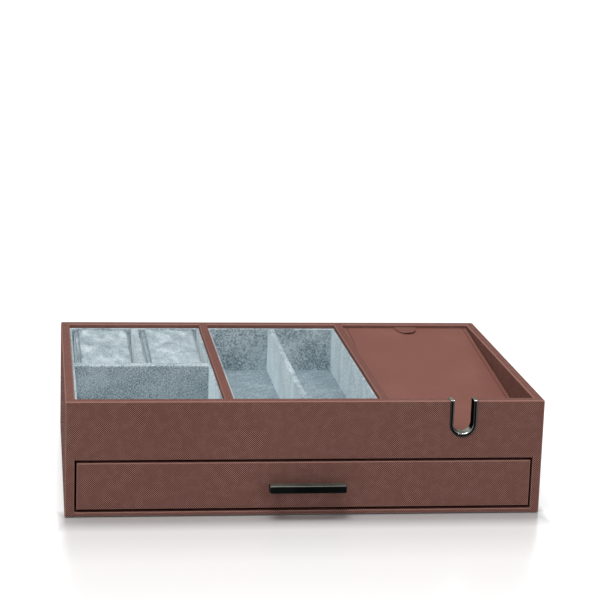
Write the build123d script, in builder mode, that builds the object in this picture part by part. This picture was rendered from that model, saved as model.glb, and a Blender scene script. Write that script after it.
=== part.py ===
"""Men's valet box: a leather-wrapped case with three open bays above one drawer.

Millimetres. X runs left to right as seen from the front, Y from front to back and Z up.
The origin is the centre of the underside.
"""

import math
import os

from build123d import *

# ------------------------------------------------------------------ driving sizes
# Case
box_width = 356.0
box_depth = 254.0
box_height = 88.0
side_thickness = 7.0
end_thickness = 8.0
corner_radius = 1.5
rim_radius = 1.2
felt_thickness = 0.8
felt_inset = 4.0
felt_corner_radius = 6.0
base_thickness = 3.2
base_edge_radius = 1.0
opening_top = 43.6
opening_edge_radius = 0.8
deck_thickness = 3.0
divider_thickness = 7.0

# Suede linings
lining_drop = 3.5
lining_thickness = 2.0
lining_edge_radius = 0.8
pad_thickness = 1.5

# Suede-covered partitions
middle_partition_thickness = 5.0
watch_rail_thickness = 8.0
watch_rail_front = 112.0
watch_partition_thickness = 6.0
partition_edge_radius = 1.5

# Watch pillows
pillow_side_gap = 0.6
pillow_end_gap = 0.8
pillow_floor_gap = 0.3
pillow_top_drop = 1.6
pillow_crown = 1.6
pillow_draw_in = 1.4
pillow_end_draw_in = 2.2
pillow_edge_radius = 5.0

# Phone ramp
ramp_thickness = 5.0
ramp_side_gap = 0.8
ramp_end_gap = 0.8
ramp_back_drop = 2.6
ramp_sill_step = 0.2
ramp_edge_radius = 1.0
ramp_rest_gap = 0.3
ramp_groove_inset = 3.4
ramp_groove_width = 1.0
ramp_groove_depth = 0.6
cleat_thickness = 5.0
tab_width = 18.6
tab_length = 16.0
tab_thickness = 1.0
tab_edge_radius = 0.3

# Cable notch
notch_width = 14.4
notch_depth = 25.2
trim_wall = 3.2
trim_front_bead = 0.7
trim_back_bead = 0.4
trim_top_bead = 0.4
trim_front_radius = 1.4
trim_end_radius = 0.35

# Drawer
drawer_side_gap = 1.5
drawer_top_gap = 2.0
drawer_bottom_gap = 2.0
drawer_back_gap = 2.0
drawer_front_thickness = 10.0
drawer_wall_thickness = 6.0
drawer_wall_height = 31.0
drawer_bottom_thickness = 3.0
drawer_edge_radius = 1.2
drawer_lining_drop = 1.5
glide_width = 12.0
glide_end_inset = 12.0
glide_side_inset = 2.0
glide_gap = 0.3

# Drawer pull
pull_length = 57.4
pull_height = 5.8
pull_depth = 8.0
pull_projection = 13.0
pull_edge_radius = 0.9
leg_spacing = 44.0
leg_width = 6.0
leg_height = 4.0
screw_diameter = 2.5
screw_head_diameter = 5.0
screw_head_height = 1.6
screw_grip = 8.0
screw_hole_clearance = 0.2
screw_thread_clearance = 0.05

# Margin round the limits when edges are picked by their place
pick_margin = 0.01

# ------------------------------------------------------------------ derived places
half_width = box_width / 2
front_face = -box_depth / 2
inner_half_width = half_width - side_thickness
inner_front = front_face + end_thickness
inner_back = -inner_front
base_top = felt_thickness + base_thickness
deck_top = opening_top + deck_thickness
lining_top = box_height - lining_drop
pad_top = deck_top + pad_thickness

bay_width = (2 * inner_half_width - 2 * divider_thickness) / 3
left_bay = -inner_half_width
middle_bay = left_bay + bay_width + divider_thickness
right_bay = middle_bay + bay_width + divider_thickness


def save(piece, name):
    """Label a finished piece and write it to its own file."""
    piece.label = name
    export_step(piece, f"parts/{name}.step")


def block(x_from, x_to, y_from, y_to, z_from, z_to):
    """A box between six limits, added to the part being built."""
    with Locations(((x_from + x_to) / 2, (y_from + y_to) / 2, (z_from + z_to) / 2)):
        Box(x_to - x_from, y_to - y_from, z_to - z_from)


def soft_board(name, x_from, x_to, y_from, y_to, z_from, z_to, radius):
    """A covered board whose two long top edges are rounded by its cover."""
    along = Axis.X if x_to - x_from > y_to - y_from else Axis.Y
    with BuildPart() as board:
        block(x_from, x_to, y_from, y_to, z_from, z_to)
        top = board.faces().sort_by(Axis.Z)[-1]
        fillet(top.edges().filter_by(along), radius)
    save(board.part, name)
    return board.part


def pad(name, x_from, x_to, y_from, y_to, z_from):
    """A flat suede-covered floor pad."""
    with BuildPart() as floor:
        block(x_from, x_to, y_from, y_to, z_from, z_from + pad_thickness)
    save(floor.part, name)


def lining_set(name, x_from, x_to, y_from, y_to, z_from, z_to):
    """Four wall linings and a floor pad that line one rectangular well."""
    inner_x_from = x_from + lining_thickness
    inner_x_to = x_to - lining_thickness
    inner_y_from = y_from + lining_thickness
    inner_y_to = y_to - lining_thickness
    walls = {
        "front": (x_from, x_to, y_from, inner_y_from),
        "back": (x_from, x_to, inner_y_to, y_to),
        "left": (x_from, inner_x_from, inner_y_from, inner_y_to),
        "right": (inner_x_to, x_to, inner_y_from, inner_y_to),
    }
    for side, limits in walls.items():
        soft_board(f"{name}_{side}_lining", *limits, z_from, z_to, lining_edge_radius)
    pad(f"{name}_floor_pad", inner_x_from, inner_x_to, inner_y_from, inner_y_to, z_from)


os.makedirs("parts", exist_ok=True)

# ------------------------------------------------------------------ case
# Both dividers are let into the front and back walls as deep as the rims are rounded,
# so the wrapped rims run into each other.
dividers = [
    soft_board(
        divider_name,
        divider_left,
        divider_left + divider_thickness,
        inner_front - rim_radius,
        inner_back + rim_radius,
        deck_top,
        box_height,
        rim_radius,
    )
    for divider_name, divider_left in (
        ("left_bay_divider", middle_bay - divider_thickness),
        ("right_bay_divider", right_bay - divider_thickness),
    )
]

# The four walls are cut from one mitred, leather-wrapped ring, so their rims meet.
with BuildPart() as case_ring:
    with BuildSketch(Plane.XY.offset(felt_thickness)):
        RectangleRounded(box_width, box_depth, corner_radius)
        Rectangle(2 * inner_half_width, 2 * inner_back, mode=Mode.SUBTRACT)
    extrude(amount=box_height - felt_thickness)
    fillet(case_ring.faces().sort_by(Axis.Z)[-1].edges(), rim_radius)


def mitred_wall(outer_from, outer_to, inner_to, inner_from):
    """The stretch of the case ring that lies between two mitres."""
    with BuildPart() as wall:
        add(case_ring.part)
        with BuildSketch():
            Polygon(outer_from, outer_to, inner_to, inner_from, align=None)
        extrude(amount=box_height, mode=Mode.INTERSECT)
    return wall.part


outer_front_left = (-half_width, front_face)
outer_front_right = (half_width, front_face)
outer_back_left = (-half_width, -front_face)
outer_back_right = (half_width, -front_face)
inner_front_left = (-inner_half_width, inner_front)
inner_front_right = (inner_half_width, inner_front)
inner_back_left = (-inner_half_width, inner_back)
inner_back_right = (inner_half_width, inner_back)

# The metal U that lines the notch fits a slot of its own outline in the front wall.
notch_centre = right_bay + bay_width / 2
notch_bottom = box_height - notch_depth
notch_radius = notch_width / 2
trim_radius = notch_radius + trim_wall
notch_round_height = notch_bottom + notch_radius
notch_reach = box_height + trim_top_bead


def notch_outline(radius, mode=Mode.ADD):
    """A U of the given radius, open at the rim, inside a sketch seen from the front."""
    rise = notch_reach - notch_round_height
    with Locations((notch_centre, notch_round_height)):
        Circle(radius, mode=mode)
    with Locations((notch_centre, notch_round_height + rise / 2)):
        Rectangle(2 * radius, rise, mode=mode)


front_wall_back = Plane.XZ.offset(-inner_front)

with BuildPart() as front_frame:
    add(mitred_wall(outer_front_left, outer_front_right, inner_front_right, inner_front_left))
    with BuildSketch(front_wall_back):
        with Locations((0, opening_top / 2)):
            Rectangle(2 * inner_half_width, opening_top)
    extrude(amount=end_thickness, mode=Mode.SUBTRACT)
    opening_edges = (
        front_frame.faces()
        .sort_by(Axis.Y)[0]
        .edges()
        .filter_by_position(
            Axis.X, -inner_half_width - pick_margin, inner_half_width + pick_margin
        )
        .filter_by_position(Axis.Z, felt_thickness, opening_top + pick_margin)
    )
    fillet(opening_edges, opening_edge_radius)
    with BuildSketch(front_wall_back):
        notch_outline(trim_radius)
    extrude(amount=end_thickness, mode=Mode.SUBTRACT)
    add(dividers, mode=Mode.SUBTRACT)
save(front_frame.part, "front_frame")

with BuildPart() as back_panel:
    add(mitred_wall(outer_back_left, outer_back_right, inner_back_right, inner_back_left))
    add(dividers, mode=Mode.SUBTRACT)
save(back_panel.part, "back_panel")

save(
    mitred_wall(outer_front_left, outer_back_left, inner_back_left, inner_front_left),
    "left_side_panel",
)
save(
    mitred_wall(outer_front_right, outer_back_right, inner_back_right, inner_front_right),
    "right_side_panel",
)

with BuildPart() as cable_notch_trim:
    with BuildSketch(Plane.XZ.offset(-inner_front - trim_back_bead)):
        notch_outline(trim_radius)
        notch_outline(notch_radius, mode=Mode.SUBTRACT)
    extrude(amount=end_thickness + trim_back_bead + trim_front_bead)
    fillet(cable_notch_trim.faces().sort_by(Axis.Y)[0].edges(), trim_front_radius)
    leg_ends = cable_notch_trim.faces().filter_by(Plane.XY).sort_by(Axis.Z)[-2:]
    fillet(leg_ends.edges(), trim_end_radius)
save(cable_notch_trim.part, "cable_notch_trim")

with BuildPart() as base_panel:
    block(-inner_half_width, inner_half_width, front_face, inner_back, felt_thickness, base_top)
    front_edges = base_panel.faces().sort_by(Axis.Y)[0].edges().filter_by(Axis.X)
    fillet(front_edges, base_edge_radius)
save(base_panel.part, "base_panel")

with BuildPart() as base_felt:
    with BuildSketch():
        RectangleRounded(
            box_width - 2 * felt_inset, box_depth - 2 * felt_inset, felt_corner_radius
        )
    extrude(amount=felt_thickness)
save(base_felt.part, "base_felt")

with BuildPart() as tray_deck:
    block(-inner_half_width, inner_half_width, inner_front, inner_back, opening_top, deck_top)
save(tray_deck.part, "tray_deck")

# ------------------------------------------------------------------ left and middle bays
for bay_name, bay_start in (("left_bay", left_bay), ("middle_bay", middle_bay)):
    lining_set(
        bay_name, bay_start, bay_start + bay_width, inner_front, inner_back, deck_top, lining_top
    )

well_front = inner_front + lining_thickness
well_back = inner_back - lining_thickness
left_well_left = left_bay + lining_thickness
left_well_right = left_bay + bay_width - lining_thickness
left_well_middle = (left_well_left + left_well_right) / 2
middle_well_middle = middle_bay + bay_width / 2
rail_front = inner_front + watch_rail_front
rail_back = rail_front + watch_rail_thickness

soft_board(
    "watch_rail",
    left_well_left,
    left_well_right,
    rail_front,
    rail_back,
    pad_top,
    lining_top,
    partition_edge_radius,
)
soft_board(
    "watch_partition",
    left_well_middle - watch_partition_thickness / 2,
    left_well_middle + watch_partition_thickness / 2,
    rail_back,
    well_back,
    pad_top,
    lining_top,
    partition_edge_radius,
)
soft_board(
    "middle_bay_partition",
    middle_well_middle - middle_partition_thickness / 2,
    middle_well_middle + middle_partition_thickness / 2,
    well_front,
    well_back,
    pad_top,
    lining_top,
    partition_edge_radius,
)

# ------------------------------------------------------------------ watch pillows
pillow_front = rail_back + pillow_end_gap
pillow_back = well_back - pillow_end_gap
pillow_bottom = pad_top + pillow_floor_gap
pillow_shoulder = lining_top - pillow_top_drop
pillow_width = (
    (left_well_right - left_well_left - watch_partition_thickness) / 2 - 2 * pillow_side_gap
)
pillow_length = pillow_back - pillow_front


def cushion_section(plane, width, draw_in, crown):
    """A cushion's section: bulged sides, drawn in at both seams, and a crowned top."""
    half = width / 2
    seam = half - draw_in
    middle = (pillow_bottom + pillow_shoulder) / 2
    top = pillow_shoulder + crown
    with BuildSketch(plane) as section:
        with BuildLine():
            Line((-seam, pillow_bottom), (seam, pillow_bottom))
            ThreePointArc((seam, pillow_bottom), (half, middle), (seam, pillow_shoulder))
            ThreePointArc((seam, pillow_shoulder), (0, top), (-seam, pillow_shoulder))
            ThreePointArc((-seam, pillow_shoulder), (-half, middle), (-seam, pillow_bottom))
        make_face()
    return section.sketch


def watch_pillow(name, centre_x):
    """One cushion: its cross section run along Y, cut by its long section."""
    front_plane = Plane(origin=(centre_x, pillow_front, 0), x_dir=(1, 0, 0), z_dir=(0, -1, 0))
    left_plane = Plane(
        origin=(centre_x - pillow_width / 2, (pillow_front + pillow_back) / 2, 0),
        x_dir=(0, 1, 0),
        z_dir=(1, 0, 0),
    )
    across = cushion_section(front_plane, pillow_width, pillow_draw_in, pillow_crown)
    along = cushion_section(left_plane, pillow_length, pillow_end_draw_in, pillow_crown)
    with BuildPart() as pillow:
        extrude(across, amount=-pillow_length)
        extrude(along, amount=pillow_width, mode=Mode.INTERSECT)
        corners = pillow.edges().filter_by(
            lambda edge: edge.bounding_box().size.Z > (pillow_shoulder - pillow_bottom) / 2
        )
        fillet(corners, pillow_edge_radius)
    save(pillow.part, name)


pillow_pitch = (pillow_width + watch_partition_thickness) / 2 + pillow_side_gap
watch_pillow("watch_pillow_left", left_well_middle - pillow_pitch)
watch_pillow("watch_pillow_right", left_well_middle + pillow_pitch)

# ------------------------------------------------------------------ phone bay
# The ramp's low front edge is round, and it tips up about the middle of that round.
# It lies just above the notch, so that a cable runs straight out under it.
ramp_front_height = notch_bottom + ramp_sill_step
ramp_left = right_bay + ramp_side_gap
ramp_width = bay_width - 2 * ramp_side_gap
ramp_axis_y = inner_front + ramp_end_gap + ramp_thickness / 2
ramp_back_y = inner_back - ramp_end_gap
ramp_run = ramp_back_y - ramp_axis_y
ramp_slope = math.atan2(box_height - ramp_back_drop - ramp_front_height, ramp_run)
ramp_axis_z = ramp_front_height - ramp_thickness / 2 / math.cos(ramp_slope)
ramp_length = ramp_run / math.cos(ramp_slope) - ramp_thickness / 2 * math.tan(ramp_slope)
ramp_side = Plane(
    origin=(ramp_left, ramp_axis_y, ramp_axis_z),
    x_dir=(0, math.cos(ramp_slope), math.sin(ramp_slope)),
    z_dir=(1, 0, 0),
)
ramp_top = Plane(
    origin=ramp_side.from_local_coords((0, ramp_thickness / 2, ramp_width / 2)),
    x_dir=(1, 0, 0),
    z_dir=(0, -math.sin(ramp_slope), math.cos(ramp_slope)),
)

with BuildPart() as phone_ramp:
    with BuildSketch(ramp_side):
        Circle(ramp_thickness / 2)
        with Locations((ramp_length / 2, 0)):
            Rectangle(ramp_length, ramp_thickness)
    extrude(amount=ramp_width)
    back_edges = phone_ramp.faces().sort_by(Axis.Y)[-1].edges().filter_by(Axis.X)
    fillet(back_edges, ramp_edge_radius)
    with BuildSketch(ramp_top):
        with Locations((0, ramp_length / 2)):
            with GridLocations(ramp_width - 2 * ramp_groove_inset, 0, 2, 1):
                Rectangle(ramp_groove_width, ramp_length)
    extrude(amount=-ramp_groove_depth, mode=Mode.SUBTRACT)
save(phone_ramp.part, "phone_ramp")

# The half-round tab is made flat, then laid on the ramp's upper end.
with BuildPart() as ramp_pull_tab:
    with BuildSketch():
        Ellipse(tab_width / 2, tab_length)
        Rectangle(tab_width, tab_length, align=(Align.CENTER, Align.MAX), mode=Mode.INTERSECT)
    extrude(amount=tab_thickness)
    fillet(ramp_pull_tab.faces().sort_by(Axis.Z)[-1].edges(), tab_edge_radius)
tab_place = ramp_top.location * Pos(0, ramp_length - ramp_edge_radius, 0)
save(tab_place * ramp_pull_tab.part, "ramp_pull_tab")


def ramp_underside(y):
    """Height of the plane on which the cleats carry the ramp."""
    below = (ramp_thickness / 2 + ramp_rest_gap) / math.cos(ramp_slope)
    return ramp_axis_z + (y - ramp_axis_y) * math.tan(ramp_slope) - below


for cleat_name, cleat_left in (
    ("ramp_cleat_left", right_bay),
    ("ramp_cleat_right", right_bay + bay_width - cleat_thickness),
):
    with BuildPart() as ramp_cleat:
        with BuildSketch(Plane.YZ.offset(cleat_left)):
            Polygon(
                (inner_front, deck_top),
                (inner_back, deck_top),
                (inner_back, ramp_underside(inner_back)),
                (inner_front, ramp_underside(inner_front)),
                align=None,
            )
        extrude(amount=cleat_thickness)
    save(ramp_cleat.part, cleat_name)

pad(
    "cable_bay_floor_pad",
    right_bay + cleat_thickness,
    right_bay + bay_width - cleat_thickness,
    inner_front,
    inner_back,
    deck_top,
)

# ------------------------------------------------------------------ drawer
drawer_half_width = inner_half_width - drawer_side_gap
drawer_floor = base_top + drawer_bottom_gap
drawer_front_top = opening_top - drawer_top_gap
drawer_front_back = front_face + drawer_front_thickness
drawer_back = inner_back - drawer_back_gap
drawer_wall_top = drawer_floor + drawer_wall_height
drawer_well_half = drawer_half_width - drawer_wall_thickness
drawer_well_back = drawer_back - drawer_wall_thickness
drawer_bottom_top = drawer_floor + drawer_bottom_thickness

# The bar sits half-way up the drawer front, and its legs are level with its underside.
pull_centre_height = (drawer_floor + drawer_front_top) / 2
leg_centre_height = pull_centre_height - pull_height / 2 + leg_height / 2
leg_places = [(-leg_spacing / 2, leg_centre_height), (leg_spacing / 2, leg_centre_height)]
pull_back = front_face - pull_projection + pull_depth
leg_end = pull_back - pull_edge_radius
screw_head_seat = drawer_front_back - screw_head_height

with BuildPart() as drawer_front:
    block(
        -drawer_half_width,
        drawer_half_width,
        front_face,
        drawer_front_back,
        drawer_floor,
        drawer_front_top,
    )
    fillet(drawer_front.faces().sort_by(Axis.Y)[0].edges(), drawer_edge_radius)
    with BuildSketch(Plane.XZ.offset(-drawer_front_back)):
        with Locations(*leg_places):
            Circle(screw_diameter / 2 + screw_hole_clearance)
    extrude(amount=drawer_front_thickness, mode=Mode.SUBTRACT)
    with BuildSketch(Plane.XZ.offset(-drawer_front_back)):
        with Locations(*leg_places):
            Circle(screw_head_diameter / 2 + screw_hole_clearance)
    extrude(amount=screw_head_height, mode=Mode.SUBTRACT)
save(drawer_front.part, "drawer_front")

for wall_name, wall_left in (
    ("drawer_left_side", -drawer_half_width),
    ("drawer_right_side", drawer_half_width - drawer_wall_thickness),
):
    soft_board(
        wall_name,
        wall_left,
        wall_left + drawer_wall_thickness,
        drawer_front_back,
        drawer_back,
        drawer_floor,
        drawer_wall_top,
        lining_edge_radius,
    )
soft_board(
    "drawer_back",
    -drawer_well_half,
    drawer_well_half,
    drawer_well_back,
    drawer_back,
    drawer_floor,
    drawer_wall_top,
    lining_edge_radius,
)
with BuildPart() as drawer_bottom:
    block(
        -drawer_well_half,
        drawer_well_half,
        drawer_front_back,
        drawer_well_back,
        drawer_floor,
        drawer_bottom_top,
    )
save(drawer_bottom.part, "drawer_bottom")
lining_set(
    "drawer",
    -drawer_well_half,
    drawer_well_half,
    drawer_front_back,
    drawer_well_back,
    drawer_bottom_top,
    drawer_wall_top - drawer_lining_drop,
)

for glide_name, glide_side in (("drawer_glide_left", -1), ("drawer_glide_right", 1)):
    glide_outer = glide_side * (drawer_half_width - glide_side_inset)
    glide_inner = glide_outer - glide_side * glide_width
    with BuildPart() as drawer_glide:
        block(
            min(glide_outer, glide_inner),
            max(glide_outer, glide_inner),
            inner_front + glide_end_inset,
            inner_back - glide_end_inset,
            base_top,
            drawer_floor - glide_gap,
        )
    save(drawer_glide.part, glide_name)

# The pull is one casting: a square bar on two short legs, tapped from behind.
with BuildPart() as drawer_pull:
    with BuildSketch(Plane.XZ.offset(-pull_back)):
        with Locations((0, pull_centre_height)):
            Rectangle(pull_length, pull_height)
    extrude(amount=pull_depth)
    fillet(drawer_pull.edges(), pull_edge_radius)
    with BuildSketch(Plane.XZ.offset(-front_face)):
        with Locations(*leg_places):
            Rectangle(leg_width, leg_height)
    extrude(amount=front_face - leg_end)
    with BuildSketch(Plane.XZ.offset(-front_face)):
        with Locations(*leg_places):
            Circle(screw_diameter / 2 + screw_thread_clearance)
    extrude(amount=screw_grip, mode=Mode.SUBTRACT)
save(drawer_pull.part, "drawer_pull")

with BuildPart() as drawer_pull_screws:
    with BuildSketch(Plane.XZ.offset(-screw_head_seat)):
        with Locations(*leg_places):
            Circle(screw_diameter / 2)
    extrude(amount=screw_head_seat - front_face + screw_grip)
    with BuildSketch(Plane.XZ.offset(-drawer_front_back)):
        with Locations(*leg_places):
            Circle(screw_head_diameter / 2)
    extrude(amount=screw_head_height)
save(drawer_pull_screws.part, "drawer_pull_screws")
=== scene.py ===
"""Dresses the valet box: grained and smooth leather, suede, dark metal and soft watch pillows."""

import math

import bmesh
import bpy
from bpy.props import FloatProperty, FloatVectorProperty, PointerProperty
from mathutils import Matrix, Vector, noise


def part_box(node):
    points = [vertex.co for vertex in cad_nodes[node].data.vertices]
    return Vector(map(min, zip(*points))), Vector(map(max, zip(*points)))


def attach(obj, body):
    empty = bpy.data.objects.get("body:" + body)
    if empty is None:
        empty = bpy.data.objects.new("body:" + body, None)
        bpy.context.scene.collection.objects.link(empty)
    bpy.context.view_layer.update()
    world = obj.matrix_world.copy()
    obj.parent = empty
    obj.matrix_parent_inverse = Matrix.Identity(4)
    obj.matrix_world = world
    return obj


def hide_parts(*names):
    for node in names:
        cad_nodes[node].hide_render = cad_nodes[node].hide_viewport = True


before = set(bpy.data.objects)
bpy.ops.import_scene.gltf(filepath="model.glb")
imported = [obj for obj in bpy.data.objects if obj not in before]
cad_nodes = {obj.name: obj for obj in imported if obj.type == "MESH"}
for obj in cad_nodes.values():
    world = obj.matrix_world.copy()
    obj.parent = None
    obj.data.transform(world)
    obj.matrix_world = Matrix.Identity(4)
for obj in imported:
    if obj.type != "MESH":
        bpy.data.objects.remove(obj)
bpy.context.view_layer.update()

bl_info = {
    "name": "Valet box",
    "version": (1, 0, 0),
    "blender": (4, 5, 0),
    "location": "3D View > Sidebar > Valet box",
    "description": "Dresses a leather valet box with a suede-lined tray and a drawer",
    "category": "Object",
}

MM = 0.001
CLOTH_STEPS = 20


# ---------------------------------------------------------------- colours
def linear(red, green, blue):
    """An sRGB colour, 0 to 255, as the linear RGBA that Blender's sockets take."""
    out = []
    for part in (red, green, blue):
        part /= 255
        out.append(part / 12.92 if part <= 0.04045 else ((part + 0.055) / 1.055) ** 2.4)
    return (*out, 1.0)


# ---------------------------------------------------------------- shader trees
class Wire:
    """One output socket of a material's tree, which takes part in plain arithmetic."""

    def __init__(self, tree, socket):
        self.tree = tree
        self.socket = socket

    def math(self, operation, *values):
        """A Math node on this value and the others."""
        numbered = dict(enumerate((self, *values)))
        return self.tree.node("ShaderNodeMath", {"operation": operation}, numbered)

    def __add__(self, other):
        return self.math("ADD", other)

    __radd__ = __add__

    def __mul__(self, other):
        return self.math("MULTIPLY", other)

    __rmul__ = __mul__

    def __sub__(self, other):
        return self.math("SUBTRACT", other)

    def __rsub__(self, other):
        return self * -1 + other

    def __pow__(self, other):
        return self.math("POWER", other)

    def __gt__(self, other):
        return self.math("GREATER_THAN", other)

    def above(self, other):
        """The larger of the two."""
        return self.math("MAXIMUM", other)

    def below(self, other):
        """The smaller of the two."""
        return self.math("MINIMUM", other)

    def held(self):
        """This value, held between 0 and 1."""
        return self.above(0.0).below(1.0)

    def wave(self):
        """A sine of this value, from 0 to 1."""
        return self.math("SINE") * 0.5 + 0.5

    def size(self):
        """This value without its sign."""
        return self.math("ABSOLUTE")

    def blend(self, low, high):
        """From low to high as this value goes from 0 to 1."""
        return low + self * (high - low)


class ShaderTree:
    """Makes nodes in one node tree."""

    def __init__(self, node_tree):
        self.nodes = node_tree.nodes
        self.links = node_tree.links
        self.nodes.clear()

    def node(self, kind, settings=None, values=None, output=0):
        """A node with its settings made first and its sockets set or linked after."""
        made = self.nodes.new(kind)
        for key, value in (settings or {}).items():
            if key == "stops":
                ramp = made.color_ramp.elements
                while len(ramp) < len(value):
                    ramp.new(0.5)
                for element, (place, colour) in zip(ramp, value):
                    element.position = place
                    element.color = colour
            else:
                setattr(made, key, value)
        for key, value in (values or {}).items():
            if isinstance(value, Wire):
                self.links.new(value.socket, made.inputs[key])
            else:
                made.inputs[key].default_value = value
        return Wire(self, made.outputs[output])

    def place(self):
        """The object coordinates, in metres."""
        return self.node("ShaderNodeTexCoord", output="Object")

    def parts(self, vector):
        """The three components of a vector."""
        x = self.node("ShaderNodeSeparateXYZ", {}, {0: vector})
        return x, *(Wire(self, x.socket.node.outputs[i]) for i in (1, 2))

    def noise(self, where, scale, detail=2.0, roughness=0.5, distortion=0.0):
        """Smooth noise, about 0.5, with that many grains to the metre."""
        values = {
            "Vector": where,
            "Scale": scale,
            "Detail": detail,
            "Roughness": roughness,
            "Distortion": distortion,
        }
        return self.node("ShaderNodeTexNoise", {}, values)

    def stretch(self, where, amounts, turn=(0.0, 0.0, 0.0)):
        """Coordinates turned and then scaled along each axis."""
        values = {"Vector": where, "Rotation": turn, "Scale": amounts}
        return self.node("ShaderNodeMapping", {"vector_type": "TEXTURE"}, values)

    def ramp(self, value, *stops):
        """A colour that runs through the stops."""
        return self.node("ShaderNodeValToRGB", {"stops": stops}, {0: value})

    def mix(self, share, first, second):
        """One colour into another."""
        values = {"Factor": share, 6: first, 7: second}
        return self.node("ShaderNodeMix", {"data_type": "RGBA"}, values, output=2)

    def normal(self):
        """The three components of the direction in which the face points."""
        return self.parts(self.node("ShaderNodeNewGeometry", output="Normal"))

    def bump(self, height, depth):
        """A surface normal from a height of 0 to 1, which stands for that depth in metres."""
        values = {"Height": height, "Distance": depth, "Strength": 1.0}
        return self.node("ShaderNodeBump", {}, values)

    def surface(self, values):
        """The material's one shader, with the values of its sockets, linked to the output."""
        shader = self.node("ShaderNodeBsdfPrincipled", {}, values)
        end = self.nodes.new("ShaderNodeOutputMaterial")
        self.links.new(shader.socket, end.inputs[0])


def new_material(name):
    """An empty material and its tree."""
    material = bpy.data.materials.new(name)
    material.use_nodes = True
    return material, ShaderTree(material.node_tree)


# ---------------------------------------------------------------- settings
def length(name, value, description):
    """A size that the user may change, in metres."""
    return FloatProperty(name=name, description=description, default=value, unit="LENGTH")


def angle(name, value, description):
    """An angle that the user may change, given in degrees."""
    return FloatProperty(
        name=name, description=description, default=math.radians(value), subtype="ANGLE"
    )


def share(name, value, description):
    """A plain number that the user may change."""
    return FloatProperty(name=name, description=description, default=value)


def colour(name, value, description):
    """A colour that the user may change."""
    return FloatVectorProperty(
        name=name,
        description=description,
        default=linear(*value),
        size=4,
        subtype="COLOR",
        min=0,
        max=1,
    )


class LeatherSettings(bpy.types.PropertyGroup):
    """Both leathers."""

    base: colour("Leather", (131, 88, 79), "Colour of the leather")
    ridge: colour("Ridge", (186, 141, 130), "Colour of the ridges of the grain")
    groove: colour("Groove", (50, 22, 18), "Colour between the ridges of the grain")
    pitch: length("Grain pitch", 1.05 * MM, "Distance between two ridges of the cross-hatch")
    depth: length("Grain depth", 0.16 * MM, "Height of the ridges of the cross-hatch")


class SuedeSettings(bpy.types.PropertyGroup):
    """The suede of the linings and pillows."""

    dark: colour("Dark nap", (110, 126, 135), "Colour where the nap is brushed one way")
    middle: colour("Nap", (160, 175, 182), "Colour of the nap")
    light: colour("Light nap", (208, 221, 225), "Colour where the nap is brushed the other way")


class PillowSettings(bpy.types.PropertyGroup):
    """The watch pillows."""

    voxel: length("Mesh size", 4.0 * MM, "Size of the mesh that is inflated")
    inset: length("Inset", 1.6 * MM, "How much smaller the pillow is before it is inflated")
    rounding: length("Rounding", 4.0 * MM, "Radius of the pillow's edges before it is inflated")
    front_form: share("Front squareness", 0.45, "How square the pillow's front end is, 0 to 1")
    back_form: share("Back squareness", 0.88, "How square the pillow's back end is, 0 to 1")
    slack: length("Slack", 0.7 * MM, "Gap between the pillow and each side of its well")
    pressure: share("Pressure", 4.0, "Pressure of the filling")
    cap: length("Most swelling", 5.0 * MM, "The furthest that a point may move")
    left_seam: length("Left seam", 4.0 * MM, "Distance of the left seam from the left side")
    right_seam: length("Right seam", 2.4 * MM, "Distance of the right seam from the right side")
    seam_depth: length("Seam depth", 1.3 * MM, "How far the thread draws the seams in")
    stitch: length("Stitch", 2.3 * MM, "Length of a stitch")
    stitch_pitch: length("Stitch pitch", 3.1 * MM, "Distance from stitch to stitch")
    thread: length("Thread", 0.22 * MM, "Radius of the thread")


class RampSettings(bpy.types.PropertyGroup):
    """The phone ramp's tab."""

    slope: angle("Ramp slope", 5.4704, "Angle of the ramp to the floor")
    tab_width: length("Tab width", 18.6 * MM, "Width of the tab where it leaves the ramp")
    tab_reach: length("Tab length", 16.0 * MM, "How far the tab reaches down the ramp")
    tab_thickness: length("Tab thickness", 0.9 * MM, "Thickness of the tab's leather")
    tab_drop: length("Tab drop", 1.0 * MM, "How far the leather starts below the tab's top")
    tab_lift: length("Tab lift", 1.7 * MM, "How far the tab's free edge stands off the ramp")


class StudioSettings(bpy.types.PropertyGroup):
    """Camera, light and floor."""

    camera_x: length("Camera X", -200.4 * MM, "Camera's place along the width")
    camera_y: length("Camera Y", -1504.4 * MM, "Camera's place along the depth")
    camera_z: length("Camera height", 469.7 * MM, "Camera's height above the floor")
    yaw: angle("Camera turn", 7.893, "How far the camera looks to the right")
    pitch: angle("Camera tilt", 12.397, "How far the camera looks down")
    roll: angle("Camera roll", 1.934, "How far the camera is turned about its view")
    lens: share("Lens", 117.76, "Focal length in millimetres, on a 36 mm sensor")
    sky: share("Sky light", 0.32, "Strength of the light from all round")
    sun: share("Wide light", 1.2, "Strength of the wide, even light from above")
    key: share("Key light", 9.0, "Power of the soft box overhead, in watts")
    spark: share("Small lights", 1.6, "Power of each small lamp that lights up round metal edges")


# ---------------------------------------------------------------- materials
def crosshatch(tree, pitch):
    """Height of the cross-hatched grain, on a face that looks along any axis."""
    where = tree.place()
    x, y, z = tree.parts(where)
    wander = tree.noise(where, 60.0, 2.0) * (pitch * 0.9)
    level = tree.normal()[2].size() > 0.7
    turn = 2 * math.pi / (pitch * math.sqrt(2))
    first = ((x + y + z + wander) * turn).wave()
    second = ((level.blend(x + y - z, x - y) - wander) * turn).wave()
    patches = tree.noise(where, 150.0, 2.0)
    favour = ((patches - 0.42) * 3.0 + 0.5).above(0.1).below(0.94)
    return favour.blend(second, first), patches


def facing_up(tree):
    """1 on the faces that look upwards, 0 on upright ones."""
    return ((tree.normal()[2] - 0.5) * 2.5).held()


# This mask gives both edge wear and a painted highlight on the round edges.
def edge_wear_and_highlight(tree):
    """1 on the rounded edges, which face between two axes, and 0 on the flats."""
    x, y, z = (part.size() for part in tree.normal())
    return ((0.985 - x.above(y).above(z)) * 7.0).held()


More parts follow.
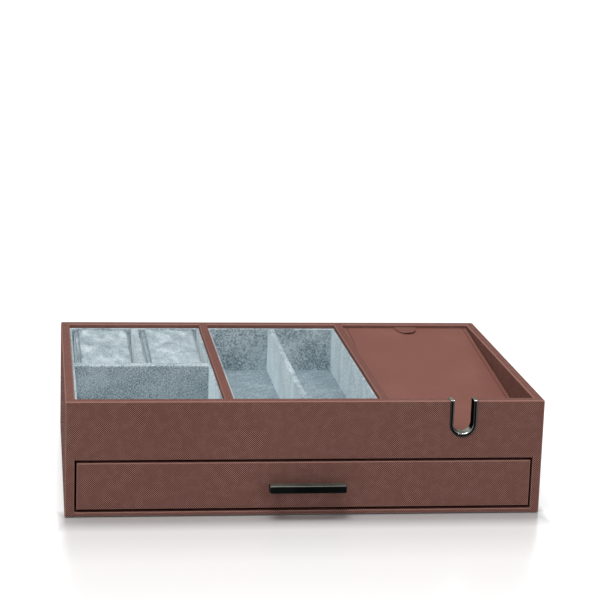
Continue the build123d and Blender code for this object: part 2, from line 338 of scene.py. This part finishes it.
def grained_leather(settings):
    """Leather with an embossed cross-hatch, with painted shade where it faces up, and paler round
    edges, partly wear and partly painted highlight.
    """
    material, tree = new_material("grained_leather")
    height, patches = crosshatch(tree, settings.pitch)
    where = tree.place()
    broad = tree.noise(where, 14.0, 2.0)
    fine = tree.noise(where, 2600.0, 2.0)
    # The ridges' pale and the grooves' dark tones are partly the grain's own colour and partly
    # painted highlight on the ridges and painted shade in the grooves.
    tone = tree.ramp(
        height * 0.88 + fine * 0.12,
        (0.26, settings.groove),
        (0.54, settings.base),
        (0.84, settings.ridge),
    )
    flat = tree.mix((patches * 1.3 + 0.35).below(1.0), settings.base, tone)
    deep = tree.mix(0.55, settings.base, settings.groove)
    aged = tree.mix(broad * 0.3, flat, deep)
    # Painted shade: the faces that look upwards are mixed towards the groove colour.
    painted_top_shade = tree.mix(facing_up(tree) * 0.2, aged, settings.groove)
    # Paler round edges: partly wear, partly a painted highlight.
    worn_and_highlit = tree.mix(edge_wear_and_highlight(tree) * 0.5, painted_top_shade, settings.ridge)
    relief = height * 0.9 + fine * 0.1
    tree.surface(
        {
            "Base Color": worn_and_highlit,
            "Roughness": 0.7 - height * 0.12,
            "Specular IOR Level": 0.01,
            "Normal": tree.bump(relief, settings.depth),
        },
    )
    return material


def smooth_leather(settings, name="smooth_leather", shade=0.0, painted_top_shade=0.1):
    """The same leather stretched smooth, with a fine pore.

    Shade darkens it all over and the top shade darkens the faces that look upwards: both are
    painted shade.
    """
    material, tree = new_material(name)
    where = tree.place()
    pores = tree.node(
        "ShaderNodeTexVoronoi",
        {"feature": "DISTANCE_TO_EDGE"},
        {"Vector": where, "Scale": 1300.0},
    )
    pebbles = (pores * 6.0).below(1.0)
    fine = tree.noise(where, 900.0, 3.0)
    broad = tree.noise(where, 22.0, 3.0)
    tone = tree.ramp(
        broad * 0.6 + fine * 0.4,
        (0.3, linear(129, 86, 77)),
        (0.5, settings.base),
        (0.72, linear(142, 98, 88)),
    )
    skin = tree.mix(pebbles * (0.12 - shade) + 0.88, settings.groove, tone)
    # Painted shade on the faces that look upwards.
    skin = tree.mix(facing_up(tree) * painted_top_shade, skin, settings.groove)
    tree.surface(
        {
            # Paler round edges: partly wear, partly a painted highlight.
            "Base Color": tree.mix(edge_wear_and_highlight(tree) * 0.3, skin, settings.ridge),
            "Roughness": 0.5 + fine * 0.12,
            "Specular IOR Level": 0.02,
            "Normal": tree.bump(pebbles * 0.6 + fine * 0.4, 0.05 * MM),
        },
    )
    return material


def suede(
    settings, name, lift, painted_top_light=0.0, brushing=0.14, grain=26.0, lay=1.0, fleck=1.6, turn=0.0
):
    """Brushed suede: clouds, brush strokes and a fine speckle.

    Lift makes it paler all over, and darker when below 0. The top light paints light on the faces
    that look up, and paints shade there when below 0. Brushing is the share of the brush strokes,
    grain the number of clouds to the metre, lay how long they are along the depth, fleck the
    contrast of the speckle, and turn how much painted shade is in the seams and on the steep
    sides.
    """
    material, tree = new_material(name)
    where = tree.stretch(tree.place(), (1.0, lay, 1.0))
    clouds = tree.noise(where, grain, 3.0, 0.55, 0.6)
    along = tree.stretch(where, (5.0, 1.0, 2.0), (0.5, 0.3, 0.5))
    strokes = tree.noise(along, 420.0, 3.0, 0.6, 0.8)
    across = tree.stretch(where, (1.0, 3.0, 5.0), (-0.4, 0.2, -0.6))
    counter = tree.noise(across, 330.0, 3.0, 0.6, 0.8)
    brushed = (clouds > 0.5).blend(strokes, counter)
    speckle = tree.noise(where, 850.0, 2.0, 0.8)
    flecks = (speckle - 0.5) * fleck + 0.5
    plain = clouds * (0.5 - brushing) + brushed * brushing + flecks * 0.5
    # Painted light on the faces that look up, which is painted shade when it is below 0.
    nap = plain + facing_up(tree) * painted_top_light + lift
    if turn:
        # Painted shade: the steep sides and the seams of the pillows are darkened.
        side = tree.normal()[0]
        seam_shade = tree.node("ShaderNodeAttribute", {"attribute_name": "seam"}, output="Fac")
        steep_side_shade = ((side * side - 0.62) * 4.0).held()
        nap = nap - steep_side_shade * turn - seam_shade * (turn * 0.55)
    tone = tree.ramp(
        nap,
        (0.39, settings.dark),
        (0.5, settings.middle),
        (0.61, settings.light),
    )
    tree.surface(
        {
            "Base Color": tone,
            "Roughness": 0.95,
            "Specular IOR Level": 0.1,
            "Sheen Weight": 0.9,
            "Sheen Roughness": 0.35,
            "Sheen Tint": linear(214, 230, 235),
            "Normal": tree.bump(brushed * 0.4 + speckle * 0.6, 0.25 * MM),
        },
    )
    return material


def felt():
    """Dense dark felt with loose fibres."""
    material, tree = new_material("felt")
    where = tree.place()
    fibres = tree.noise(tree.stretch(where, (4.0, 1.0, 1.0), (0.0, 0.0, 0.7)), 900.0, 4.0, 0.7)
    lint = tree.noise(where, 260.0, 2.0)
    tone = tree.ramp(
        fibres * 0.7 + lint * 0.3,
        (0.35, linear(38, 34, 32)),
        (0.65, linear(74, 68, 64)),
    )
    tree.surface(
        {
            "Base Color": tone,
            "Roughness": 1.0,
            "Sheen Weight": 0.3,
            "Normal": tree.bump(fibres, 0.3 * MM),
        },
    )
    return material


def board():
    """Bare fibreboard."""
    material, tree = new_material("fibreboard")
    where = tree.place()
    chips = tree.noise(tree.stretch(where, (3.0, 1.0, 1.0), (0.0, 0.0, 0.4)), 700.0, 5.0, 0.65)
    clouds = tree.noise(where, 30.0, 2.0)
    tone = tree.ramp(
        chips * 0.7 + clouds * 0.3,
        (0.3, linear(118, 88, 60)),
        (0.7, linear(168, 134, 98)),
    )
    tree.surface(
        {"Base Color": tone, "Roughness": 0.85, "Normal": tree.bump(chips, 0.1 * MM)}
    )
    return material


def dark_metal(name, glint_share):
    """Polished black chrome, with a painted grey reflection on its upper faces, and pale round
    edges: a little wear all round and a painted highlight where they look up or to the right.

    The second argument is how much painted highlight the edges get that look up or to the right.
    """
    material, tree = new_material(name)
    where = tree.place()
    marks = tree.noise(tree.stretch(where, (12.0, 1.0, 1.0)), 1500.0, 3.0)
    smudge = tree.noise(where, 60.0, 2.0)
    x, _, z = tree.normal()
    # Painted reflection: the upper faces get a grey base colour; the same mask also roughens
    # them.
    top_reflection_mask = ((z - 0.8) * 6.0).held()
    # Painted highlight: round edges that look up or to the right, towards the lamps, get a pale
    # base colour; the small rest is wear all round.
    lit = (z * 1.3).above(x * 0.7 - z * 0.4).held()
    bare_and_glint = edge_wear_and_highlight(tree) * (lit * glint_share + 0.04)
    dark = tree.ramp(smudge, (0.3, linear(8, 9, 9)), (0.7, linear(14, 15, 15)))
    grey = tree.ramp(smudge, (0.3, linear(112, 115, 104)), (0.7, linear(136, 139, 128)))
    tree.surface(
        {
            "Base Color": tree.mix(bare_and_glint, tree.mix(top_reflection_mask, dark, grey), linear(205, 208, 203)),
            "Metallic": 1.0,
            "Roughness": 0.09 + marks * 0.05 + smudge * 0.03 + top_reflection_mask * 0.34,
            "Specular Tint": (0.3, 0.3, 0.29, 1.0),
            "Normal": tree.bump(marks, 0.004 * MM),
        },
    )
    return material


def zinc():
    """Zinc plate on the screws, turned on a lathe."""
    material, tree = new_material("zinc_plate")
    where = tree.place()
    turned = tree.noise(tree.stretch(where, (1.0, 6.0, 1.0)), 2200.0, 3.0)
    tone = tree.ramp(turned, (0.3, linear(150, 150, 152)), (0.7, linear(196, 197, 200)))
    tree.surface(
        {
            "Base Color": tone,
            "Metallic": 1.0,
            "Roughness": 0.3 + turned * 0.15,
            "Normal": tree.bump(turned, 0.01 * MM),
        },
    )
    return material


def thread():
    """Matt grey-blue sewing thread, twisted."""
    material, tree = new_material("thread")
    where = tree.place()
    twist = tree.noise(where, 5200.0, 2.0)
    tone = tree.ramp(twist, (0.3, linear(138, 154, 160)), (0.7, linear(192, 206, 210)))
    tree.surface(
        {
            "Base Color": tone,
            "Roughness": 0.7,
            "Specular IOR Level": 0.25,
            "Normal": tree.bump(twist, 0.05 * MM),
        },
    )
    return material


def dress(node, material):
    """Give a CAD node its material."""
    slots = cad_nodes[node].data.materials
    slots.clear()
    slots.append(material)


def matching(*words):
    """The CAD nodes whose names hold any of the words."""
    return [name for name in cad_nodes if any(word in name for word in words)]


# ---------------------------------------------------------------- mesh helpers
def new_object(name, mesh, material=None):
    """Link a mesh to the scene as a new object."""
    made = bpy.data.objects.new(name, mesh)
    bpy.context.scene.collection.objects.link(made)
    if material:
        mesh.materials.clear()
        mesh.materials.append(material)
    return made


def settle(made):
    """Replace an object's mesh by its evaluated one, and take its modifiers off."""
    graph = bpy.context.evaluated_depsgraph_get()
    mesh = bpy.data.meshes.new_from_object(made.evaluated_get(graph), depsgraph=graph)
    made.modifiers.clear()
    old, made.data = made.data, mesh
    bpy.data.meshes.remove(old)
    mesh.name = made.name


def shade_smooth(mesh):
    """Smooth shading on every face."""
    mesh.polygons.foreach_set("use_smooth", [True] * len(mesh.polygons))


def rounded_block(low, high, radius):
    """A closed mesh of a block with rounded edges."""
    form = bmesh.new()
    bmesh.ops.create_cube(form, size=1.0)
    middle, size = (low + high) / 2, high - low
    for vertex in form.verts:
        vertex.co = Vector(m + s * c for m, s, c in zip(middle, size, vertex.co))
    bmesh.ops.bevel(
        form, geom=list(form.edges), offset=radius, segments=4, profile=0.5, affect="EDGES"
    )
    mesh = bpy.data.meshes.new("block")
    form.to_mesh(mesh)
    form.free()
    return mesh


# ---------------------------------------------------------------- pillows
def inflate(made, settings):
    """Remesh a closed form evenly and blow it up as cloth, moving no point past the cap."""
    remesh = made.modifiers.new("even", "REMESH")
    remesh.mode = "VOXEL"
    remesh.voxel_size = settings.voxel
    settle(made)
    start = [vertex.co.copy() for vertex in made.data.vertices]
    cloth = made.modifiers.new("filling", "CLOTH")
    cloth.settings.quality = 6
    cloth.settings.mass = 0.3
    cloth.settings.use_pressure = True
    cloth.settings.uniform_pressure_force = settings.pressure
    cloth.settings.effector_weights.gravity = 0
    for step in range(1, CLOTH_STEPS + 1):
        bpy.context.scene.frame_set(step)
    settle(made)
    bpy.context.scene.frame_set(1)
    for vertex, old in zip(made.data.vertices, start):
        moved = vertex.co - old
        if moved.length > settings.cap:
            vertex.co = old + moved.normalized() * settings.cap


def fill_space(mesh, low, high, settings):
    """Stretch a form to a space, and square it off towards the space's corners."""
    middle, half = (low + high) / 2, (high - low) / 2
    for axis in range(3):
        values = sorted(vertex.co[axis] for vertex in mesh.vertices)
        spare = (values[-1] - values[0]) * 0.012
        first, last = values[0] + spare, values[-1] - spare
        for vertex in mesh.vertices:
            vertex.co[axis] = (2 * vertex.co[axis] - first - last) / (last - first)
    for vertex in mesh.vertices:
        reach = max(abs(part) for part in vertex.co)
        back = (vertex.co.y + 1) / 2
        form = settings.front_form + (settings.back_form - settings.front_form) * back
        spread = 1 + (1 / reach - 1) * form
        parts = [min(max(part * spread, -1), 1) for part in vertex.co]
        vertex.co = Vector(m + h * part for m, h, part in zip(middle, half, parts))


def fade(gap, reach):
    """1 at a seam, and less the further from it."""
    return math.exp(-((gap / reach) ** 2))


def draw_seams(made, planes, settings, seed):
    """Cut each side seam into the form, mark it for the painted seam shade, draw it in and pucker
    the cloth beside it.
    """
    form = bmesh.new()
    form.from_mesh(made.data)
    for plane in planes:
        geometry = list(form.verts) + list(form.edges) + list(form.faces)
        bmesh.ops.bisect_plane(form, geom=geometry, plane_co=(plane, 0, 0), plane_no=(1, 0, 0))
    form.normal_update()
    # This mask carries the painted seam shade that the pillow suede reads.
    seam_shade = form.verts.layers.float.new("seam")
    moves = []
    for vertex in form.verts:
        gap = min(abs(vertex.co.x - plane) for plane in planes)
        vertex[seam_shade] = fade(gap, 0.8 * MM)
        draw = settings.seam_depth * fade(gap, 0.7 * MM)
        spot = Vector((seed * 7.0, vertex.co.y * 230, vertex.co.z * 230))
        pucker = 0.25 * MM * noise.noise(spot) * fade(gap, 3.5 * MM)
        soft = 0.4 * MM * noise.noise(vertex.co * 75 + Vector((seed * 3.0, 0, 0)))
        moves.append(vertex.normal * (soft - draw + pucker))
    for vertex, move in zip(form.verts, moves):
        vertex.co += move
    form.to_mesh(made.data)
    form.free()


def seam_line(mesh, plane):
    """The closed line of points that runs round a form in the plane of a seam."""
    points = [v.co.copy() for v in mesh.vertices if abs(v.co.x - plane) < 0.25 * MM]
    centre = sum(points, Vector()) / len(points)
    points.sort(key=lambda p: math.atan2(p.z - centre.z, (p.y - centre.y) * 0.35))
    return points


def stitch_tree(settings, sewing):
    """Geometry nodes that lay a stitch at every pitch along a curve."""
    tree = bpy.data.node_groups.new("stitches", "GeometryNodeTree")
    face = tree.interface
    face.new_socket("Geometry", in_out="INPUT", socket_type="NodeSocketGeometry")
    for name, value in (
        ("Pitch", settings.stitch_pitch),
        ("Stitch", settings.stitch),
        ("Thread", settings.thread),
    ):
        socket = face.new_socket(name, in_out="INPUT", socket_type="NodeSocketFloat")
        socket.default_value = value
    face.new_socket("Geometry", in_out="OUTPUT", socket_type="NodeSocketGeometry")

    def add(kind, **links):
        made = tree.nodes.new(kind)
        for name, source in links.items():
            socket = made.inputs[name.replace("_", " ")]
            if isinstance(source, bpy.types.NodeSocket):
                tree.links.new(source, socket)
            else:
                socket.default_value = source
        return made

    given = tree.nodes.new("NodeGroupInput").outputs
    spaced = tree.nodes.new("GeometryNodeResampleCurve")
    spaced.mode = "LENGTH"
    tree.links.new(given["Geometry"], spaced.inputs["Curve"])
    tree.links.new(given["Pitch"], spaced.inputs["Length"])
    half = add("ShaderNodeMath")
    half.operation = "MULTIPLY"
    tree.links.new(given["Stitch"], half.inputs[0])
    half.inputs[1].default_value = 0.5
    ball = add("GeometryNodeMeshUVSphere", Segments=8, Rings=6, Radius=1.0)
    size = tree.nodes.new("ShaderNodeCombineXYZ")
    tree.links.new(given["Thread"], size.inputs[0])
    tree.links.new(given["Thread"], size.inputs[1])
    tree.links.new(half.outputs[0], size.inputs[2])
    stitch = add(
        "GeometryNodeTransform", Geometry=ball.outputs["Mesh"], Scale=size.outputs[0]
    )
    tangent = tree.nodes.new("GeometryNodeInputTangent")
    turn = tree.nodes.new("FunctionNodeAlignRotationToVector")
    turn.axis = "Z"
    tree.links.new(tangent.outputs[0], turn.inputs["Vector"])
    placed = add(
        "GeometryNodeInstanceOnPoints",
        Points=spaced.outputs["Curve"],
        Instance=stitch.outputs["Geometry"],
        Rotation=turn.outputs["Rotation"],
    )
    real = add("GeometryNodeRealizeInstances", Geometry=placed.outputs["Instances"])
    dressed = add("GeometryNodeSetMaterial", Geometry=real.outputs["Geometry"])
    dressed.inputs["Material"].default_value = sewing
    end = tree.nodes.new("NodeGroupOutput")
    tree.links.new(dressed.outputs["Geometry"], end.inputs["Geometry"])
    return tree


def stitches(name, points, settings, sewing):
    """A row of stitches on a closed line."""
    line = bpy.data.curves.new(name, "CURVE")
    line.dimensions = "3D"
    spline = line.splines.new("POLY")
    spline.points.add(len(points) - 1)
    for point, place in zip(spline.points, points):
        point.co = (*place, 1.0)
    spline.use_cyclic_u = True
    path = bpy.data.objects.new(name + "_path", line)
    bpy.context.scene.collection.objects.link(path)
    modifier = path.modifiers.new("stitches", "NODES")
    modifier.node_group = stitch_tree(settings, sewing)
    graph = bpy.context.evaluated_depsgraph_get()
    mesh = bpy.data.meshes.new_from_object(path.evaluated_get(graph), depsgraph=graph)
    bpy.data.objects.remove(path)
    made = new_object(name, mesh)
    shade_smooth(mesh)
    return made


def watch_pillow(side, seed, settings, cloth, sewing):
    """One pillow and the stitches of its two side seams."""
    node = f"watch_pillow_{side}"
    low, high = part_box(node)
    inset = Vector((settings.inset,) * 3)
    block = rounded_block(low + inset, high - inset, settings.rounding)
    made = new_object(f"soft_watch_pillow_{side}", block, cloth)
    inflate(made, settings)
    slack = Vector((settings.slack, 0, 0))
    fill_space(made.data, low + slack, high - slack, settings)
    subdivision = made.modifiers.new("fine", "SUBSURF")
    subdivision.levels = subdivision.render_levels = 2
    settle(made)
    planes = {"left": low.x + settings.left_seam, "right": high.x - settings.right_seam}
    draw_seams(made, planes.values(), settings, seed)
    shade_smooth(made.data)
    body = f"{side}_pillow"
    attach(made, body)
    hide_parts(node)
    for name, plane in planes.items():
        points = seam_line(made.data, plane)
        row = stitches(f"{side}_pillow_{name}_seam", points, settings, sewing)
        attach(row, body)


# ---------------------------------------------------------------- tab
def pull_tab(settings, leather):
    """The half-round tab: it lies on the ramp and stands off a little at its free edge."""
    low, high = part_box("ramp_pull_tab")
    slope = Matrix.Rotation(settings.slope, 4, "X")
    base = Vector(((low.x + high.x) / 2, high.y, high.z - settings.tab_drop))
    rings, steps = 12, 32
    form = bmesh.new()
    rows = []
    for ring in range(1, rings + 1):
        out = ring / rings
        row = []
        for step in range(steps + 1):
            angle = math.pi * step / steps
            x = -math.cos(angle) * out * settings.tab_width / 2
            y = -math.sin(angle) * out * settings.tab_reach
            lean = 0.55 + 0.45 * x / (settings.tab_width / 2)
            lift = settings.tab_lift * lean * (-y / settings.tab_reach) ** 2
            row.append(form.verts.new((x, y, lift)))
        rows.append(row)
    centre = form.verts.new((0, 0, 0))
    for step in range(steps):
        form.faces.new((centre, rows[0][step], rows[0][step + 1]))
        for inner, outer in zip(rows, rows[1:]):
            form.faces.new(
                (inner[step], outer[step], outer[step + 1], inner[step + 1])
            )
    bmesh.ops.recalc_face_normals(form, faces=form.faces)
    if form.faces[0].normal.z < 0:
        bmesh.ops.reverse_faces(form, faces=form.faces)
    mesh = bpy.data.meshes.new("leather_tab")
    form.to_mesh(mesh)
    form.free()
    mesh.transform(Matrix.Translation(base) @ slope)
    made = new_object("leather_pull_tab", mesh, leather)
    wall = made.modifiers.new("thickness", "SOLIDIFY")
    wall.thickness = settings.tab_thickness
    wall.offset = 1.0
    edge = made.modifiers.new("edge", "BEVEL")
    edge.width = 0.22 * MM
    edge.segments = 3
    edge.limit_method = "ANGLE"
    settle(made)
    shade_smooth(made.data)
    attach(made, "ramp")
    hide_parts("ramp_pull_tab")


# ---------------------------------------------------------------- stage
def look(yaw, pitch, roll):
    """A camera's turn, from its angles: to the right, down and about its view."""
    level = math.cos(pitch)
    ahead = Vector((math.sin(yaw) * level, math.cos(yaw) * level, -math.sin(pitch)))
    right = Vector((math.cos(yaw), -math.sin(yaw), 0))
    up = right.cross(ahead)
    tilted_right = math.cos(roll) * right + math.sin(roll) * up
    tilted_up = -math.sin(roll) * right + math.cos(roll) * up
    return Matrix((tilted_right, tilted_up, -ahead)).transposed()


def place_camera(settings):
    """The camera that sees the box as the photograph does."""
    camera = bpy.data.objects.new("camera", bpy.data.cameras.new("camera"))
    bpy.context.scene.collection.objects.link(camera)
    camera.data.sensor_width = 36.0
    camera.data.lens = settings.lens
    camera.data.clip_start = 0.05
    camera.data.clip_end = 60.0
    turn = look(settings.yaw, settings.pitch, settings.roll).to_4x4()
    place = (settings.camera_x, settings.camera_y, settings.camera_z)
    camera.matrix_world = Matrix.Translation(place) @ turn
    bpy.context.scene.camera = camera


def soft_box(name, place, target, size, power):
    """A square area lamp aimed at a point."""
    lamp = bpy.data.lights.new(name, "AREA")
    lamp.shape = "SQUARE"
    lamp.size = size
    lamp.energy = power
    box = bpy.data.objects.new(name, lamp)
    bpy.context.scene.collection.objects.link(box)
    box.location = place
    box.rotation_mode = "QUATERNION"
    box.rotation_quaternion = (Vector(target) - Vector(place)).to_track_quat("-Z", "Y")


def seen_directly(tree):
    """1 for a ray from the camera, a reflection or glass, and 0 for one that lights a surface."""
    seen = tree.node("ShaderNodeLightPath", output="Is Camera Ray")
    outputs = seen.socket.node.outputs
    for kind in ("Is Glossy Ray", "Is Transmission Ray"):
        seen = seen.above(Wire(tree, outputs[kind]))
    return seen


def light_studio(settings):
    """An even sky, white behind the box, and one large soft box overhead."""
    world = bpy.data.worlds.new("studio")
    bpy.context.scene.world = world
    world.use_nodes = True
    tree = ShaderTree(world.node_tree)
    strength = seen_directly(tree).blend(settings.sky, 1.0)
    background = tree.node(
        "ShaderNodeBackground", {}, {"Color": (1.0, 1.0, 1.0, 1.0), "Strength": strength}
    )
    end = tree.nodes.new("ShaderNodeOutputWorld")
    tree.links.new(background.socket, end.inputs[0])
    wide = bpy.data.lights.new("wide", "SUN")
    wide.energy = settings.sun
    wide.angle = math.radians(32)
    even = bpy.data.objects.new("wide", wide)
    bpy.context.scene.collection.objects.link(even)
    even.rotation_euler = (math.radians(-4), math.radians(-8), 0)
    soft_box("overhead", (-0.2, -0.45, 1.5), (0.0, 0.0, 0.05), 0.5, settings.key)
    for number, place in enumerate(((-0.5, -0.7, 1.3), (0.45, -0.25, 1.4), (0.7, -1.0, 0.5))):
        soft_box(f"spark_{number}", place, (0.05, -0.1, 0.05), 0.06, settings.spark)


def lay_floor():
    """A floor that shows white, with the box's shadow and a soft reflection.

    It is darker in front of the box, most where the two touch, and less over about 100 mm: this
    is a painted shadow and reflection in its colour and glow.
    """
    mesh = bpy.data.meshes.new("floor")
    reach = 14.0
    corners = [(-reach, -reach, 0), (reach, -reach, 0), (reach, reach, 0), (-reach, reach, 0)]
    mesh.from_pydata(corners, [], [(0, 1, 2, 3)])
    floor = bpy.data.objects.new("floor", mesh)
    bpy.context.scene.collection.objects.link(floor)
    material, tree = new_material("floor")
    seen = seen_directly(tree)
    x, y, _ = tree.parts(tree.place())
    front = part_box("front_frame")[0]
    gap = front[1] - y
    beside = ((x * x) ** 0.5 + front[0]) * 150.0
    elsewhere = beside.above(gap * -60.0)
    # Painted shadow and reflection: colour and glow fall off towards the box's front, most where
    # the two touch.
    painted_contact_shadow = ((gap - 10 * MM) * 44.0).above(elsewhere).held()
    painted_shadow_fade = ((gap - 45 * MM) * 18.0).above(elsewhere).held()
    far = (((x * x + y * y) ** 0.5 - 0.6) * 0.5).held()
    glow = seen * painted_contact_shadow * (painted_shadow_fade * 0.25 + far * 0.25 + 0.5)
    grey, pale = (0.5, 0.5, 0.5, 1.0), (0.62, 0.62, 0.62, 1.0)
    black, white = (0.0, 0.0, 0.0, 1.0), (1.0, 1.0, 1.0, 1.0)
    tree.surface(
        {
            # The painted shadow also darkens the floor's colour here.
            "Base Color": tree.mix(seen * painted_contact_shadow.blend(0.25, 1.0), grey, pale),
            "Roughness": 0.3,
            "Specular IOR Level": 1.0,
            "Coat Weight": 1.0,
            "Coat Roughness": 0.22,
            "Emission Color": tree.mix(glow, black, white),
            "Emission Strength": 0.6,
        },
    )
    mesh.materials.append(material)


# ---------------------------------------------------------------- operators
class ValetSettings(bpy.types.PropertyGroup):
    """All settings of the box."""

    leather: PointerProperty(type=LeatherSettings)
    suede: PointerProperty(type=SuedeSettings)
    pillow: PointerProperty(type=PillowSettings)
    ramp: PointerProperty(type=RampSettings)
    studio: PointerProperty(type=StudioSettings)


class Maker(bpy.types.Operator):
    """A step in making the box."""

    bl_options = {"REGISTER", "UNDO"}

    def execute(self, context):
        """Run the step with the scene's settings."""
        self.make(context.scene.valet_box)
        return {"FINISHED"}


class VALET_OT_stage(Maker):
    """Camera, lights and floor"""

    bl_idname = "valet.stage"
    bl_label = "Stage"

    def make(self, settings):
        """Set the stage."""
        bpy.context.scene.view_settings.view_transform = "Standard"
        place_camera(settings.studio)
        light_studio(settings.studio)
        lay_floor()


class VALET_OT_leather(Maker):
    """Case walls, dividers, drawer front and phone ramp in leather"""

    bl_idname = "valet.leather"
    bl_label = "Leather"

    def make(self, settings):
        """Dress the leather pieces."""
        grained = grained_leather(settings.leather)
        smooth = smooth_leather(settings.leather)
        for node in matching("frame", "panel", "drawer_front", "_side"):
            dress(node, grained)
        for node in matching("phone_ramp", "pull_tab", "drawer_back"):
            dress(node, smooth)
        # A copy with more painted shade on its upward faces, for the dividers' tops.
        darkened = smooth_leather(settings.leather, "divider_leather", painted_top_shade=0.36)
        for node in matching("divider"):
            dress(node, darkened)


class VALET_OT_linings(Maker):
    """Suede linings, floors and partitions"""

    bl_idname = "valet.linings"
    bl_label = "Linings"

    def make(self, settings):
        """Dress the suede pieces."""
        # The linings' upward faces get a little painted shade, as their top light is below 0.
        cloth = suede(settings.suede, "suede", lift=0.03, painted_top_light=-0.02)
        for node in matching("lining", "rail", "partition", "pillow"):
            dress(node, cloth)
        # A darker copy of the suede for the floor pads: painted shade, as they lie deep in their
        # wells.
        shaded_floor_suede = suede(settings.suede, "suede_floor", lift=-0.07, brushing=0.3)
        for node in matching("pad"):
            dress(node, shaded_floor_suede)


class VALET_OT_fittings(Maker):
    """Metal, felt and bare board"""

    bl_idname = "valet.fittings"
    bl_label = "Fittings"

    def make(self, settings):
        """Dress the fittings."""
        # The second argument sets the painted highlight on the round edges.
        dress("cable_notch_trim", dark_metal("black_chrome", 0.6))
        dress("drawer_pull", dark_metal("black_chrome_pull", 0.12))
        dress("drawer_pull_screws", zinc())
        cloth = felt()
        for node in matching("felt", "glide"):
            dress(node, cloth)
        plain = board()
        for node in matching("deck", "cleat", "drawer_bottom"):
            dress(node, plain)


class VALET_OT_pillows(Maker):
    """Two watch pillows, inflated, with side seams"""

    bl_idname = "valet.pillows"
    bl_label = "Watch pillows"

    def make(self, settings):
        """Make both pillows."""
        # Turn puts painted shade on the pillows' steep sides and in their seams.
        cloth = suede(
            settings.suede,
            "pillow_suede",
            lift=0.015,
            brushing=0.05,
            grain=85.0,
            lay=2.0,
            fleck=0.75,
            turn=0.26,
        )
        sewing = thread()
        for seed, side in enumerate(("left", "right")):
            watch_pillow(side, seed, settings.pillow, cloth, sewing)


class VALET_OT_tab(Maker):
    """The leather tab of the phone ramp"""

    bl_idname = "valet.tab"
    bl_label = "Pull tab"

    def make(self, settings):
        """Make the tab."""
        # A darker copy of the smooth leather for the tab: painted shade.
        leather = smooth_leather(settings.leather, "tab_leather", shade=0.2)
        pull_tab(settings.ramp, leather)


class VALET_PT_panel(bpy.types.Panel):
    """The steps, in the 3D view's sidebar."""

    bl_idname = "VALET_PT_panel"
    bl_label = "Valet box"
    bl_space_type = "VIEW_3D"
    bl_region_type = "UI"
    bl_category = "Valet box"

    def draw(self, context):
        """List the steps."""
        for step in STEPS:
            self.layout.operator(step.bl_idname)


SETTING_GROUPS = (
    LeatherSettings,
    SuedeSettings,
    PillowSettings,
    RampSettings,
    StudioSettings,
    ValetSettings,
)
STEPS = (
    VALET_OT_stage,
    VALET_OT_leather,
    VALET_OT_linings,
    VALET_OT_fittings,
    VALET_OT_pillows,
    VALET_OT_tab,
)
CLASSES = (*SETTING_GROUPS, *STEPS, VALET_PT_panel)


def register():
    """Register the settings, steps and panel."""
    for item in CLASSES:
        bpy.utils.register_class(item)
    bpy.types.Scene.valet_box = PointerProperty(type=ValetSettings)


def unregister():
    """Take them out again."""
    del bpy.types.Scene.valet_box
    for item in reversed(CLASSES):
        bpy.utils.unregister_class(item)


def main():
    """Make the box."""
    register()
    for step in STEPS:
        module, name = step.bl_idname.split(".")
        getattr(getattr(bpy.ops, module), name)()


if __name__ == "__main__":
    main()
